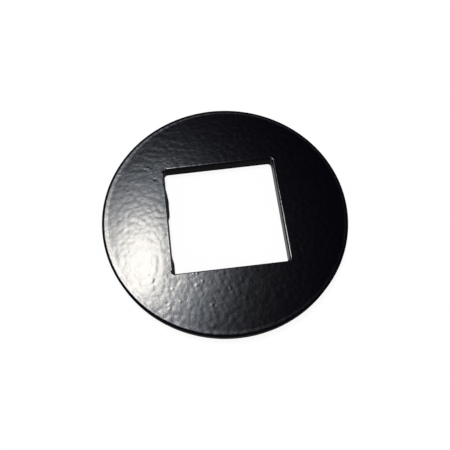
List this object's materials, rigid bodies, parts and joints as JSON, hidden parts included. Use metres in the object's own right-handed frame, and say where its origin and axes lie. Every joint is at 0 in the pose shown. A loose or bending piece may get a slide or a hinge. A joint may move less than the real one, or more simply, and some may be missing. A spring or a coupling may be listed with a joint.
{
  "type": "washer",
  "caption": "Flat round plate washer with a square hole through its middle, rounded edges and a gloss black powder coat.",
  "frame": {"origin": "middle of the lower face, on the axis of the disc", "axes": "+Z out of the upper face, along the disc's axis; X and Y square to the sides of the hole"},
  "size_m": [0.055, 0.055, 0.003],
  "materials": {
    "powder_coat": "gloss black powder coat with a fine orange peel"
  },
  "bodies": {
    "root": {"washer": "powder_coat"}
  },
  "joints": []
}
